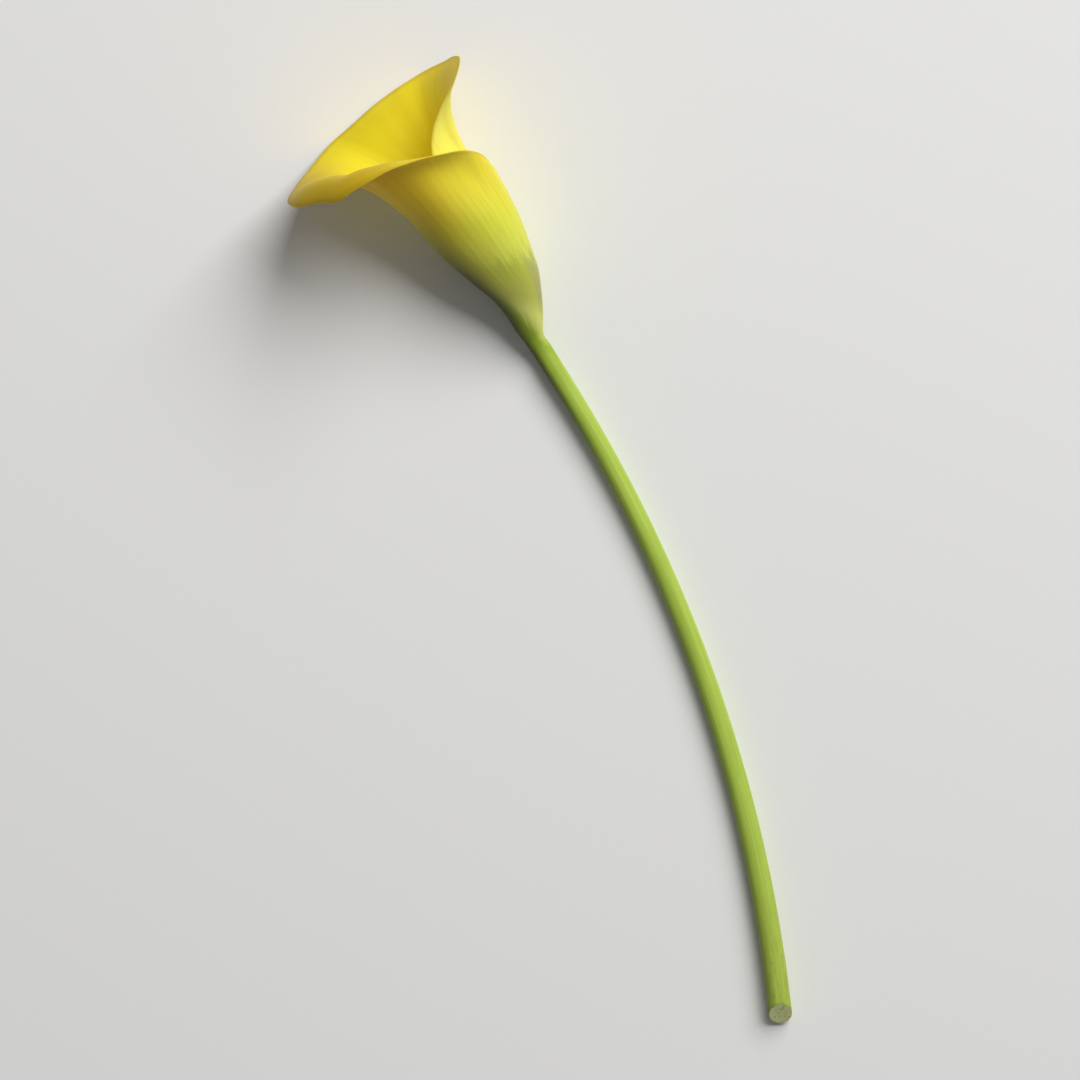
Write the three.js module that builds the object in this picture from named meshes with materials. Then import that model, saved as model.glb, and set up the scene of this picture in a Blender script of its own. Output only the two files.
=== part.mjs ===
// One calla lily flower as picked: a rolled spathe, the spadix inside it and the cut stem, lying on a surface.
// Millimetres and degrees. The part's frame has +Z up and its origin on the surface, under the flower's middle.
import * as THREE from "three";

const { clamp, degToRad, lerp, smoothstep } = THREE.MathUtils;

// ---- Driving dimensions ----

// Where the stem meets the bloom, and how the bloom lies: its axis rises off the surface and points up and left.
const BLOOM_BASE = new THREE.Vector3(-1.6, 67.5, 5.4);
const BLOOM_HEADING = 127.2;
const BLOOM_RISE = 17;

// The spathe is one sheet rolled round the axis. A wrap angle is 0 on the bloom's right, 90 on its underside,
// 180 on its left and 270 on top. The inner margin starts the roll and the outer margin ends it.
const WRAP_AT_RIM = [-100, 396];
const WRAP_AT_BASE = [18, 373];
const WRAP_SETTLES = 0.35; // share of the sheet's height over which the roll reaches its full wrap
const FLARE_STARTS = 0.62; // share of the sheet's height where the tube ends and the flare begins
// How fully the sheet swings out to its rim, in chords from tube to rim: in a plain flare, and in a rolled-back lip.
const FLARE_FULLNESS = [1.15, 1.5];
const LIP_ROLLS = [90, 150]; // leans of the rim between which a flare becomes a rolled-back lip
const SPATHE_BASE_THICKNESS = 0.8;
const SPATHE_RIM_THICKNESS = 0.6;

// Height up the axis, and the tube's outer radius there.
const TUBE_RADIUS = [[0, 3.5], [6.3, 5.65], [14.3, 7.85], [27.2, 11.45], [44.6, 15.4], [62.4, 17.0], [100, 17.8]];
// Height, and how far the tube's middle has shifted to the right of the axis.
const TUBE_SHIFT = [[0, 0], [6.3, 2.15], [14.3, 4.85], [22, 6.4], [44.6, 6.9], [100, 8.2]];
// Height, and how deep the inner layer of the roll lies under the outer one.
const LAYER_DEPTH = [[0, 1.1], [20, 1.5], [45, 2.5], [60, 4.2], [72, 4.8], [100, 4.8]];
const OUTER_LAYER_FROM = 200; // wrap angle past which the sheet lies outermost

// The rim, round the roll: wrap angle, height, reach from the tube's middle, lean of the sheet away from the axis.
const RIM = [
  [-100, 52, 9.5, 2], // corner of the inner margin, deep in the throat
  [-80, 76.3, 11, 10],
  [-50, 84, 12.9, 30],
  [-28, 87.2, 16.2, 50],
  [-19, 88.7, 19.1, 58],
  [-12, 90.3, 23, 60],
  [-4, 92.9, 27.4, 66],
  [5, 93.7, 29.4, 70], // upper right tip of the mouth
  [16, 93.3, 30.7, 72],
  [30, 92.4, 32.1, 75],
  [47, 90.45, 34.9, 75],
  [64, 89.95, 36.2, 75], // from here the rim rests on the surface
  [79, 90.75, 33.8, 75],
  [95, 90.95, 33.3, 75],
  [111, 90.3, 35.2, 75],
  [126, 89.3, 40.2, 75], // as far as here
  [142, 88.7, 42.5, 82],
  [157, 89.3, 43.8, 92],
  [176, 90.1, 46.6, 109], // left end of the mouth, where the lip starts to roll back
  [190, 90.4, 46.4, 125],
  [208, 89, 42.3, 138],
  [218.5, 87.6, 42, 141], // the spathe's own tip, turned under
  [227, 88.2, 39.8, 132],
  [243, 87.6, 34.9, 112],
  [259, 83.9, 28.8, 93],
  [276, 79.6, 24, 73],
  [300, 74.2, 20.8, 51],
  [325, 68, 18.7, 18],
  [350, 60.4, 17.3, 7],
  [378, 49, 16.6, 5],
  [396, 36, 14.2, 8], // where the outer margin runs down the tube's right side
];

// The stem bends evenly in plan from the bloom to its cut end. Bearings are measured from -Y towards +X.
const STEM_LENGTH = 245;
const STEM_BEARINGS = [34, 6];
const STEM_RADII = [3.35, 4.0];
const STEM_SHOULDER = 6; // length over which the stem swings from the bloom's direction into its own
const STEM_CUT = 40; // slant of the cut face, with the longer side below
// Length from the bloom, and the height of the stem's middle: it touches the surface at its lowest station.
const STEM_HEIGHT = [[0, 5.4], [12, 4.7], [90, 3.43], [150, 3.57], [245, 5.1]];
const PEG_RADIUS = 1.3; // the stem's core goes on inside the spathe and carries the spadix
const PEG_HEIGHT = 3;

const SPADIX_TOP = 55;
const SPADIX_RADIUS = [[3.3, 1.7], [6.5, 2.5], [12, 2.9], [40, 2.8], [50, 2.3], [55, 1.0]];
const FLORET_RELIEF = 0.22;

const GAP = 0.3; // clearance between pieces that touch

const SPATHE_GRID = { around: 66, along: 20 };
const STEM_GRID = { around: 12, along: 44 };
const SPADIX_GRID = { around: 24, along: 56 };

// ---- Helpers ----

// One smooth step from a to b, leaving and arriving at the given speeds.
function hermite(t, from, to, leave, arrive) {
  const t2 = t * t;
  const t3 = t2 * t;
  return (
    (2 * t3 - 3 * t2 + 1) * from +
    (t3 - 2 * t2 + t) * leave +
    (3 * t2 - 2 * t3) * to +
    (t3 - t2) * arrive
  );
}

// A smooth function through stations, each a row of a place and its values, with no overshoot between them.
function through(stations, column = 1) {
  const at = stations.map((row) => row[0]);
  const value = stations.map((row) => row[column]);
  const slope = at.slice(1).map((place, i) => (value[i + 1] - value[i]) / (place - at[i]));
  const tangent = at.map((_, i) => {
    const before = slope[Math.max(i - 1, 0)];
    const after = slope[Math.min(i, slope.length - 1)];
    return before * after > 0 ? (2 * before * after) / (before + after) : 0;
  });
  return (place) => {
    let i = 0;
    while (i < slope.length - 1 && place > at[i + 1]) i++;
    const step = at[i + 1] - at[i];
    const t = clamp((place - at[i]) / step, 0, 1);
    return hermite(t, value[i], value[i + 1], tangent[i] * step, tangent[i + 1] * step);
  };
}

function geometryFrom(vertices, triangles) {
  const geometry = new THREE.BufferGeometry().setFromPoints(vertices);
  geometry.setIndex(triangles);
  geometry.computeVertexNormals();
  return geometry;
}

function mesh(name, geometry, material) {
  const made = new THREE.Mesh(geometry, material);
  made.name = name;
  return made;
}

// A closed skin from two grids of points, outside and inside, joined round their four borders.
function shell(outside, inside) {
  const columns = outside.length;
  const rows = outside[0].length;
  const inner = columns * rows;
  const at = (i, j) => i * rows + j;
  const triangles = [];
  const quad = (a, b, c, d) => triangles.push(a, b, c, a, c, d);
  for (let i = 0; i + 1 < columns; i++) {
    for (let j = 0; j + 1 < rows; j++) {
      const corners = [at(i, j), at(i + 1, j), at(i + 1, j + 1), at(i, j + 1)];
      quad(...corners);
      const [a, b, c, d] = corners.map((corner) => corner + inner);
      triangles.push(a, c, b, a, d, c);
    }
  }
  const wall = (a, b) => quad(b, a, a + inner, b + inner);
  for (let i = 0; i + 1 < columns; i++) {
    wall(at(i, 0), at(i + 1, 0));
    wall(at(i + 1, rows - 1), at(i, rows - 1));
  }
  for (let j = 0; j + 1 < rows; j++) {
    wall(at(columns - 1, j), at(columns - 1, j + 1));
    wall(at(0, j + 1), at(0, j));
  }
  return geometryFrom([...outside.flat(), ...inside.flat()], triangles);
}

// A closed body through rings of points, each end covered by a fan.
function loft(rings) {
  const sides = rings[0].length;
  const vertices = rings.flat();
  const triangles = [];
  for (let i = 0; i + 1 < rings.length; i++) {
    for (let k = 0; k < sides; k++) {
      const next = (k + 1) % sides;
      const [a, b] = [i * sides + k, i * sides + next];
      triangles.push(a, a + sides, b + sides, a, b + sides, b);
    }
  }
  for (const [ring, start, turn] of [
    [rings[0], 0, 1],
    [rings.at(-1), (rings.length - 1) * sides, -1],
  ]) {
    const middle = ring.reduce((sum, point) => sum.add(point), new THREE.Vector3()).divideScalar(sides);
    const hub = vertices.push(middle) - 1;
    for (let k = 0; k < sides; k++) {
      const [a, b] = [start + k, start + ((k + 1) % sides)];
      triangles.push(hub, ...(turn > 0 ? [a, b] : [b, a]));
    }
  }
  return geometryFrom(vertices, triangles);
}

// The angle of a ring's point from level. A ring of an even number of points has a flat facet at its bottom.
const angleOf = (k, sides) => ((k + 0.5) / sides) * 2 * Math.PI;

// A ring of points round a middle, square to a direction that runs roughly level.
function ringAt(middle, direction, sides, radiusAt) {
  const upright = new THREE.Vector3(0, 0, 1);
  const side = new THREE.Vector3().crossVectors(direction, upright).normalize();
  const up = new THREE.Vector3().crossVectors(side, direction).normalize();
  return Array.from({ length: sides }, (_, k) => {
    const angle = angleOf(k, sides);
    return middle
      .clone()
      .addScaledVector(side, radiusAt(k) * Math.cos(angle))
      .addScaledVector(up, radiusAt(k) * Math.sin(angle));
  });
}

// ---- The bloom's own frame: X to its right, Y up its axis, Z to its top ----

const tubeRadius = through(TUBE_RADIUS);
const tubeShift = through(TUBE_SHIFT);
const layerDepth = through(LAYER_DEPTH);
const rimHeight = through(RIM, 1);
const rimReach = through(RIM, 2);
const rimLean = through(RIM, 3);

function bloomPoint(wrap, height, reach) {
  const angle = degToRad(-wrap);
  return new THREE.Vector3(tubeShift(height) + reach * Math.cos(angle), height, reach * Math.sin(angle));
}

function rollRadius(wrap, height) {
  const inset = layerDepth(height) * Math.max(0, (OUTER_LAYER_FROM - wrap) / OUTER_LAYER_FROM);
  return tubeRadius(height) - inset;
}

// A point of the spathe's outer face. around runs from the inner margin to the outer one, along from base to rim.
function spathePoint(around, along) {
  const rimWrap = lerp(...WRAP_AT_RIM, around);
  const settled = smoothstep(along, 0, WRAP_SETTLES);
  const wrap = lerp(lerp(...WRAP_AT_BASE, around), rimWrap, settled);
  const top = rimHeight(rimWrap);
  const flareHeight = top * FLARE_STARTS;
  if (along <= FLARE_STARTS) {
    const height = top * along;
    return bloomPoint(wrap, height, rollRadius(wrap, height));
  }
  const t = (along - FLARE_STARTS) / (1 - FLARE_STARTS);
  const flareReach = rollRadius(rimWrap, flareHeight);
  const slope = rollRadius(rimWrap, flareHeight + 0.5) - rollRadius(rimWrap, flareHeight - 0.5);
  const chord = Math.hypot(top - flareHeight, rimReach(rimWrap) - flareReach);
  const leave = (chord * FLARE_FULLNESS[0]) / Math.hypot(1, slope);
  const arrive = chord * lerp(...FLARE_FULLNESS, smoothstep(rimLean(rimWrap), ...LIP_ROLLS));
  const lean = degToRad(rimLean(rimWrap));
  const height = hermite(t, flareHeight, top, leave, arrive * Math.cos(lean));
  const reach = hermite(t, flareReach, rimReach(rimWrap), leave * slope, arrive * Math.sin(lean));
  return bloomPoint(wrap, height, reach);
}

function spatheNormal(around, along) {
  const nudge = 0.002;
  const difference = (a, b) => spathePoint(...b).sub(spathePoint(...a));
  const across = difference([clamp(around - nudge, 0, 1), along], [clamp(around + nudge, 0, 1), along]);
  const upward = difference([around, clamp(along - nudge, 0, 1)], [around, clamp(along + nudge, 0, 1)]);
  return across.cross(upward).normalize();
}

// ---- The pieces ----

function makeSpathe() {
  const { around, along } = SPATHE_GRID;
  const outside = [];
  const inside = [];
  for (let i = 0; i <= around; i++) {
    const places = Array.from({ length: along + 1 }, (_, j) => [i / around, j / along]);
    outside.push(places.map((place) => spathePoint(...place)));
    inside.push(
      places.map((place) => {
        const thickness = lerp(SPATHE_BASE_THICKNESS, SPATHE_RIM_THICKNESS, place[1]);
        return spathePoint(...place).addScaledVector(spatheNormal(...place), -thickness);
      }),
    );
  }
  const material = new THREE.MeshStandardMaterial({ color: 0xdccb35, roughness: 0.5, metalness: 0 });
  return mesh("spathe", shell(outside, inside), material);
}

// The spadix stands in the tube's middle, and its packed florets are a staggered relief all over it.
function makeSpadix() {
  const { around, along } = SPADIX_GRID;
  const base = PEG_HEIGHT + GAP;
  const radius = through(SPADIX_RADIUS);
  const middleAt = (height) => new THREE.Vector3(tubeShift(height), height, 0);
  const rings = [];
  for (let i = 0; i <= along; i++) {
    const height = lerp(base, SPADIX_TOP, i / along);
    const direction = middleAt(height - 0.5).sub(middleAt(height + 0.5));
    const relief = i > 0 && i < along ? FLORET_RELIEF : 0;
    const radiusAt = (k) => radius(height) + ((i + k) % 2 ? relief : -relief);
    rings.unshift(ringAt(middleAt(height), direction, around, radiusAt));
  }
  const material = new THREE.MeshStandardMaterial({ color: 0xd8a41c, roughness: 0.8, metalness: 0 });
  return mesh("spadix", loft(rings), material);
}

const stemHeight = through(STEM_HEIGHT);

// The stem's middle, at a length from the bloom: an even bend in plan, sinking to the surface and off it again.
function stemMiddle(length) {
  const [first, last] = STEM_BEARINGS.map(degToRad);
  const bend = (last - first) / STEM_LENGTH;
  const bearing = first + bend * length;
  return new THREE.Vector3(
    BLOOM_BASE.x + (Math.cos(first) - Math.cos(bearing)) / bend,
    BLOOM_BASE.y - (Math.sin(bearing) - Math.sin(first)) / bend,
    stemHeight(length),
  );
}

function makeStem(bloom) {
  const { around, along } = STEM_GRID;
  const down = new THREE.Vector3(0, -1, 0);
  const collar = (height, radius) =>
    ringAt(new THREE.Vector3(0, height, 0), down, around, () => radius).map((point) => bloom.localToWorld(point));
  const rings = [
    collar(PEG_HEIGHT, PEG_RADIUS),
    collar(-GAP, PEG_RADIUS),
    collar(-GAP, STEM_RADII[0]),
  ];
  for (let i = 0; i <= along; i++) {
    const length = lerp(STEM_SHOULDER, STEM_LENGTH, i / along);
    const direction = stemMiddle(length + 0.5).sub(stemMiddle(length - 0.5)).normalize();
    const radius = lerp(...STEM_RADII, length / STEM_LENGTH);
    const ring = ringAt(stemMiddle(length), direction, around, () => radius);
    if (i === along) {
      const slant = Math.tan(degToRad(STEM_CUT)) * radius;
      ring.forEach((point, k) => point.addScaledVector(direction, -slant * Math.sin(angleOf(k, around))));
    }
    rings.push(ring);
  }
  // The underside is a narrow flat where it meets the surface.
  for (const point of rings.flat()) point.z = Math.max(0, point.z);
  const material = new THREE.MeshStandardMaterial({ color: 0x8ca231, roughness: 0.5, metalness: 0 });
  return mesh("stem", loft(rings), material);
}

const bloom = new THREE.Group();
bloom.position.copy(BLOOM_BASE);
bloom.rotation.set(degToRad(BLOOM_RISE), 0, degToRad(BLOOM_HEADING - 90), "ZXY");
bloom.updateMatrixWorld(true);
bloom.add(makeSpathe(), makeSpadix());

const flower = new THREE.Group();
flower.add(bloom, makeStem(bloom));

export default flower;
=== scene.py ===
# %% [markdown]
# # A picked calla lily flower
# The flower lies on a pale surface and is seen from straight above. It has three parts. The spathe is one
# large petal-like leaf, rolled into a funnel round the flower's axis. The spadix is the golden finger inside
# it, packed with tiny florets. The stem is a fleshy stalk with a fresh cut at its end.
#
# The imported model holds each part's place and size. The cell below loads it as a fixed frame, and every new
# piece is modelled in that frame, in metres, where the model's own solid lies.

# %% Load the frame
import math
import random
from bisect import bisect_left

import bmesh
import bpy
from mathutils import Matrix, Vector, noise


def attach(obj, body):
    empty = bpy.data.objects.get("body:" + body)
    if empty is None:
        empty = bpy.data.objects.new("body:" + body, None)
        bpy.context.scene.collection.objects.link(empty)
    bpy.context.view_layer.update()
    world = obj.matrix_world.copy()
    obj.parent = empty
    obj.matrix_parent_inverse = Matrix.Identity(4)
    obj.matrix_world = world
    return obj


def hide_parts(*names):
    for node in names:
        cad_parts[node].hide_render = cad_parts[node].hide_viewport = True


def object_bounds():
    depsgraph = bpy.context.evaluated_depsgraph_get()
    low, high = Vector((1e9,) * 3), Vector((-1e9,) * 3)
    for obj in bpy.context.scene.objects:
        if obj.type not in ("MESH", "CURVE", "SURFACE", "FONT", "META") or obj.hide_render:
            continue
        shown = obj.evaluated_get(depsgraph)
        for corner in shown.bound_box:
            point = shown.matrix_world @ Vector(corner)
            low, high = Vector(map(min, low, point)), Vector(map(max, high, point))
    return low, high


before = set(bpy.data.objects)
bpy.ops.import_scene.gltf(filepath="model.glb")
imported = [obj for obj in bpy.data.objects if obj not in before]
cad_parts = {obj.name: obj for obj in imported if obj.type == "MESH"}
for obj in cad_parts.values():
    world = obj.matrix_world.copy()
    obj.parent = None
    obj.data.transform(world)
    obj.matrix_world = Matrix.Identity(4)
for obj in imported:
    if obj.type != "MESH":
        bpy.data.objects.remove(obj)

cad_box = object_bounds()
MM = 0.001
print("nodes", sorted(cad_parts))
print("box in mm", [[round(c / MM, 1) for c in corner] for corner in cad_box])

# %% [markdown]
# ## Curves through a few measured stations
# A petal's outline and a tube's swelling are smooth, but they are easiest to give as a few measured stations.
# A spline curve object could join them, but the petal needs its values at thousands of places, so a small
# function is handier. It joins each station to the next by one cubic step. Its speed at a station is the mean
# of the slopes on both sides, and nought at a peak or a dip, so it never swings past what was measured.

# %% Blends, steps and curves
def blend(start, end, share):
    return start + (end - start) * share


def clamp(value, low=0.0, high=1.0):
    return max(low, min(high, value))


def ease(value, low, high):
    """Goes smoothly from 0 to 1 as value goes from low to high."""
    share = clamp((value - low) / (high - low))
    return share * share * (3 - 2 * share)


def hermite(t, start, end, leave, arrive):
    """One smooth step from start to end, leaving and arriving at the given speeds."""
    t2, t3 = t * t, t * t * t
    from_start = (2 * t3 - 3 * t2 + 1) * start + (t3 - 2 * t2 + t) * leave
    return from_start + (3 * t2 - 2 * t3) * end + (t3 - t2) * arrive


def through(stations, column=1):
    """A smooth function through stations, each a row of a place and its values."""
    at = [row[0] for row in stations]
    value = [row[column] for row in stations]
    slope = [(value[i + 1] - value[i]) / (at[i + 1] - at[i]) for i in range(len(at) - 1)]
    speed = []
    for i in range(len(at)):
        before, after = slope[max(i - 1, 0)], slope[min(i, len(slope) - 1)]
        speed.append(2 * before * after / (before + after) if before * after > 0 else 0.0)

    def curve(place):
        i = clamp(bisect_left(at, place) - 1, 0, len(slope) - 1)
        step = at[i + 1] - at[i]
        t = clamp((place - at[i]) / step)
        return hermite(t, value[i], value[i + 1], speed[i] * step, speed[i + 1] * step)

    return curve


print("half way from 2 to 4 is", blend(2, 4, 0.5))

# %% [markdown]
# ## How the bloom lies
# The bloom's axis starts where the stem ends. It points up and to the left, and rises off the surface, so
# that the lower edge of the mouth just rests on it. In the bloom's own frame X is its right, Y runs up its
# axis and Z is its top. One matrix carries a point in millimetres from that frame to its place in metres.

# %% The bloom's own frame
BLOOM_BASE = Vector((-1.6, 67.5, 5.4))
BLOOM_HEADING = math.radians(127.2)
BLOOM_RISE = math.radians(17)
bloom_frame = (
    Matrix.Scale(MM, 4)
    @ Matrix.Translation(BLOOM_BASE)
    @ Matrix.Rotation(BLOOM_HEADING - math.radians(90), 4, "Z")
    @ Matrix.Rotation(BLOOM_RISE, 4, "X")
)
bloom_axis = (bloom_frame.to_3x3() @ Vector((0, 1, 0))).normalized()
print("axis", [round(c, 3) for c in bloom_axis])

# %% [markdown]
# ## The spathe
# A calla's spathe is one sheet. It starts at its inner margin deep in the throat, goes once round the axis
# and a third of the way again, and its outer margin lies over the start. Low down it is a narrow tube. Higher
# up it flares into the mouth, and on the near and left side the lip rolls back.
#
# A simulation of a cut sheet, or sculpting, would have to find that shape again each time. Here the piece is
# made the way it grew instead: a flat grid, whose width is the way round and whose height is the way up, is
# rolled by one function. The wrap angle says where on the roll a point is: 0 on the bloom's right, 90 on its
# underside, 180 on its left and 270 on its top.

# %% The spathe's measures
WRAP_AT_RIM = (-100, 396)
WRAP_AT_BASE = (16, 375)
WRAP_SETTLES = 0.35
FLARE_STARTS = 0.62
FLARE_FULLNESS = (1.15, 1.5)  # in chords from tube to rim: a plain flare, and a lip that rolls back
LIP_ROLLS = (90, 150)  # leans of the rim between which one becomes the other
FOOT_LAP = 2  # how far the foot laps down over the top of the stem
# Height up the axis, and the tube's outer radius there.
TUBE_RADIUS = [
    (-FOOT_LAP, 3.4),
    (-1, 3.43),
    (0, 3.5),
    (6.3, 5.65),
    (14.3, 7.85),
    (27.2, 11.45),
    (44.6, 15.4),
    (62.4, 17.0),
    (100, 17.8),
]
# Height, and how far the tube's middle has shifted to the right of the axis.
TUBE_SHIFT = [(0, 0), (6.3, 2.15), (14.3, 4.85), (22, 6.4), (44.6, 6.9), (100, 8.2)]
# Height, and how deep the inner layer of the roll lies under the outer one.
LAYER_DEPTH = [(-FOOT_LAP, 0), (0, 0.5), (6, 1.2), (20, 1.5), (45, 2.5), (60, 4.2), (72, 4.8), (100, 4.8)]
OUTER_LAYER_FROM = 200
# The rim, round the roll: wrap angle, height, reach from the tube's middle, lean of the sheet off the axis.
RIM = [
    (-100, 52, 9.5, 2),  # corner of the inner margin, deep in the throat
    (-80, 76.3, 11, 10),
    (-50, 84, 12.9, 30),
    (-28, 87.2, 16.2, 50),
    (-19, 88.7, 19.1, 58),
    (-12, 90.3, 23, 60),
    (-4, 92.9, 27.4, 66),
    (5, 93.7, 29.4, 70),  # upper right tip of the mouth
    (16, 93.3, 30.7, 72),
    (30, 92.4, 32.1, 75),
    (47, 90.45, 34.9, 75),
    (64, 89.95, 36.2, 75),  # from here the rim rests on the surface
    (79, 90.75, 33.8, 75),
    (95, 90.95, 33.3, 75),
    (111, 90.3, 35.2, 75),
    (126, 89.3, 40.2, 75),  # as far as here
    (142, 88.7, 42.5, 82),
    (157, 89.3, 43.8, 92),
    (176, 90.1, 46.6, 109),  # left end of the mouth, where the lip starts to roll back
    (190, 90.4, 46.4, 125),
    (208, 89, 42.3, 138),
    (218.5, 87.6, 42, 141),  # the spathe's own tip, turned under
    (227, 88.2, 39.8, 132),
    (243, 87.6, 34.9, 112),
    (259, 83.9, 28.8, 93),
    (276, 79.6, 24, 73),
    (300, 74.2, 20.8, 51),
    (325, 68, 18.7, 18),
    (350, 60.4, 17.3, 7),
    (378, 49, 16.6, 5),
    (396, 36, 14.2, 8),  # where the outer margin runs down the tube's right side
]
tube_radius = through(TUBE_RADIUS)
tube_shift = through(TUBE_SHIFT)
layer_depth = through(LAYER_DEPTH)
rim_height, rim_reach, rim_lean = (through(RIM, column) for column in (1, 2, 3))
print("the sheet goes round", round((WRAP_AT_RIM[1] - WRAP_AT_RIM[0]) / 360, 2), "times")

# %% Roll a point of the sheet
SLOPE_STEP = 0.5  # mm to each side, to take a slope over


def bloom_point(wrap, height, reach):
    angle = math.radians(-wrap)
    return Vector((tube_shift(height) + reach * math.cos(angle), height, reach * math.sin(angle)))


def roll_radius(wrap, height):
    depth = layer_depth(height) * max(0.0, (OUTER_LAYER_FROM - wrap) / OUTER_LAYER_FROM)
    return tube_radius(height) - depth


def spathe_place(around, along):
    """Wrap angle, height and reach of a point of the sheet.

    around runs from the inner margin to the outer one, and along from the foot to the rim.
    """
    rim_wrap = blend(*WRAP_AT_RIM, around)
    wrap = blend(blend(*WRAP_AT_BASE, around), rim_wrap, ease(along, 0, WRAP_SETTLES))
    top = rim_height(rim_wrap)
    flare_height = top * FLARE_STARTS
    if along <= FLARE_STARTS:
        height = blend(-FOOT_LAP, flare_height, along / FLARE_STARTS)
        return wrap, height, roll_radius(wrap, height)
    t = (along - FLARE_STARTS) / (1 - FLARE_STARTS)
    flare_reach = roll_radius(rim_wrap, flare_height)
    before, after = (roll_radius(rim_wrap, flare_height + step) for step in (-SLOPE_STEP, SLOPE_STEP))
    slope = (after - before) / (2 * SLOPE_STEP)
    chord = math.hypot(top - flare_height, rim_reach(rim_wrap) - flare_reach)
    leave = chord * FLARE_FULLNESS[0] / math.hypot(1, slope)
    arrive = chord * blend(*FLARE_FULLNESS, ease(rim_lean(rim_wrap), *LIP_ROLLS))
    lean = math.radians(rim_lean(rim_wrap))
    height = hermite(t, flare_height, top, leave, arrive * math.cos(lean))
    reach = hermite(t, flare_reach, rim_reach(rim_wrap), leave * slope, arrive * math.sin(lean))
    return rim_wrap, height, reach


def spathe_point(around, along):
    return bloom_point(*spathe_place(around, along))


LEFT_END = (176 - WRAP_AT_RIM[0]) / (WRAP_AT_RIM[1] - WRAP_AT_RIM[0])  # share of the way round
print("left end of the mouth, mm", [round(c, 1) for c in spathe_point(LEFT_END, 1)])

# %% [markdown]
# A living sheet is never quite even. Three small reliefs are added along its normal: slow swells all over,
# ripples that run along the rim and die out down the sheet, and very low ribs over the bundles of veins, up
# the outside of the tube. Perlin noise gives the first two, because a sine would look stamped.

# %% Swells, ripples and ribs
SWELL = 0.25  # mm, as are the two below
RIPPLE = 0.3
RIB = 0.03
SWELL_SIZE = 16  # mm from one swell to the next
RIPPLES = 17  # along the whole rim
RIBS = 46  # round the sheet
GROWS_IN = (0.15, 0.5)  # share of the way up over which the swells and the ribs come in
RIPPLE_STARTS = (0.75, 1)  # and the ripples
RIB_FADES = (0.6, 0.95)  # and the ribs fade out again
RIB_WANDER = 2.5  # radians that a rib strays to the side
RIB_BENDS = (9, 2)  # bends of the ribs round the sheet and up it
RIPPLE_ROW = (0.5, 3.5)  # where in the noise the ripples are read
WANDER_LAYER = 7.5  # and the straying of the ribs
NUDGE = 0.002  # share of the sheet to each side, to take its normal over


def spathe_normal(around, along):
    """Points out of the tube."""
    across = spathe_point(min(around + NUDGE, 1), along) - spathe_point(max(around - NUDGE, 0), along)
    upward = spathe_point(around, min(along + NUDGE, 1)) - spathe_point(around, max(along - NUDGE, 0))
    return across.cross(upward).normalized()


def relief(point, around, along):
    grown = ease(along, *GROWS_IN)
    swell = noise.noise(point / SWELL_SIZE) * grown
    ripple = noise.noise(Vector((around * RIPPLES, *RIPPLE_ROW))) * ease(along, *RIPPLE_STARTS)
    wander = RIB_WANDER * noise.noise(Vector((around * RIB_BENDS[0], along * RIB_BENDS[1], WANDER_LAYER)))
    ribs = math.sin(RIBS * 2 * math.pi * around + wander) * grown * (1 - ease(along, *RIB_FADES))
    return SWELL * swell + RIPPLE * ripple + RIB * ribs


print("swells of", SWELL, "mm, ripples of", RIPPLE, "mm and ribs of", RIB, "mm")

# %% [markdown]
# ## Materials
# One small function adds a node with its settings and links. Colours are given as they look on a screen, as
# sRGB hex values, and one function turns them to the linear values that the shader works in.

# %% Colours and nodes
def linear(hex_colour):
    def channel(pair):
        value = int(pair, 16) / 255
        return value / 12.92 if value <= 0.04045 else ((value + 0.055) / 1.055) ** 2.4

    return (*(channel(hex_colour[i : i + 2]) for i in (1, 3, 5)), 1.0)


def add(tree, kind, inputs=None, stops=None, **settings):
    """Adds a node. inputs maps a socket to a value, or to another node's output; stops fill a colour ramp."""
    made = tree.nodes.new(kind)
    for name, value in settings.items():
        setattr(made, name, value)
    for name, value in (inputs or {}).items():
        if isinstance(value, bpy.types.NodeSocket):
            tree.links.new(value, made.inputs[name])
        else:
            made.inputs[name].default_value = value
    if stops:
        elements = made.color_ramp.elements
        while len(elements) < len(stops):
            elements.new(1.0)
        for element, (place, hex_colour) in zip(elements, stops):
            element.position = place
            element.color = linear(hex_colour)
    return made


def new_material(name, **finish):
    """A Principled material. finish sets the shader's own sockets, with _ for the spaces in their names."""
    material = bpy.data.materials.new(name)
    material.use_nodes = True
    tree = material.node_tree
    tree.nodes.clear()
    sockets = {key.replace("_", " "): value for key, value in finish.items()}
    shader = add(tree, "ShaderNodeBsdfPrincipled", sockets)
    add(tree, "ShaderNodeOutputMaterial", {"Surface": shader.outputs["BSDF"]})
    return material, tree, shader


print("screen grey #808080 is", round(linear("#808080")[0], 3), "in linear light")

# %% [markdown]
# ### Patterns that follow the sheet
# Veins run lengthwise, up the sheet, so their pattern can't come from the object's coordinates, which know
# nothing of the roll. The sheet's own UV map does: U is the way round and V the way up. Noise that is
# stretched along V gives lines, and how many there are follows from the real spacing of the veins on the
# tube.

# %% Lengthwise lines
SPATHE_SHEET = (130, 100)  # mm round the tube at its widest, and from foot to rim
STALK_SHEET = (23, 248)  # mm round the stalk, and along it
LINE_ROUGHNESS = 0.55


def sheet_uv(tree):
    return add(tree, "ShaderNodeUVMap", uv_map="sheet").outputs["UV"]


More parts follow.
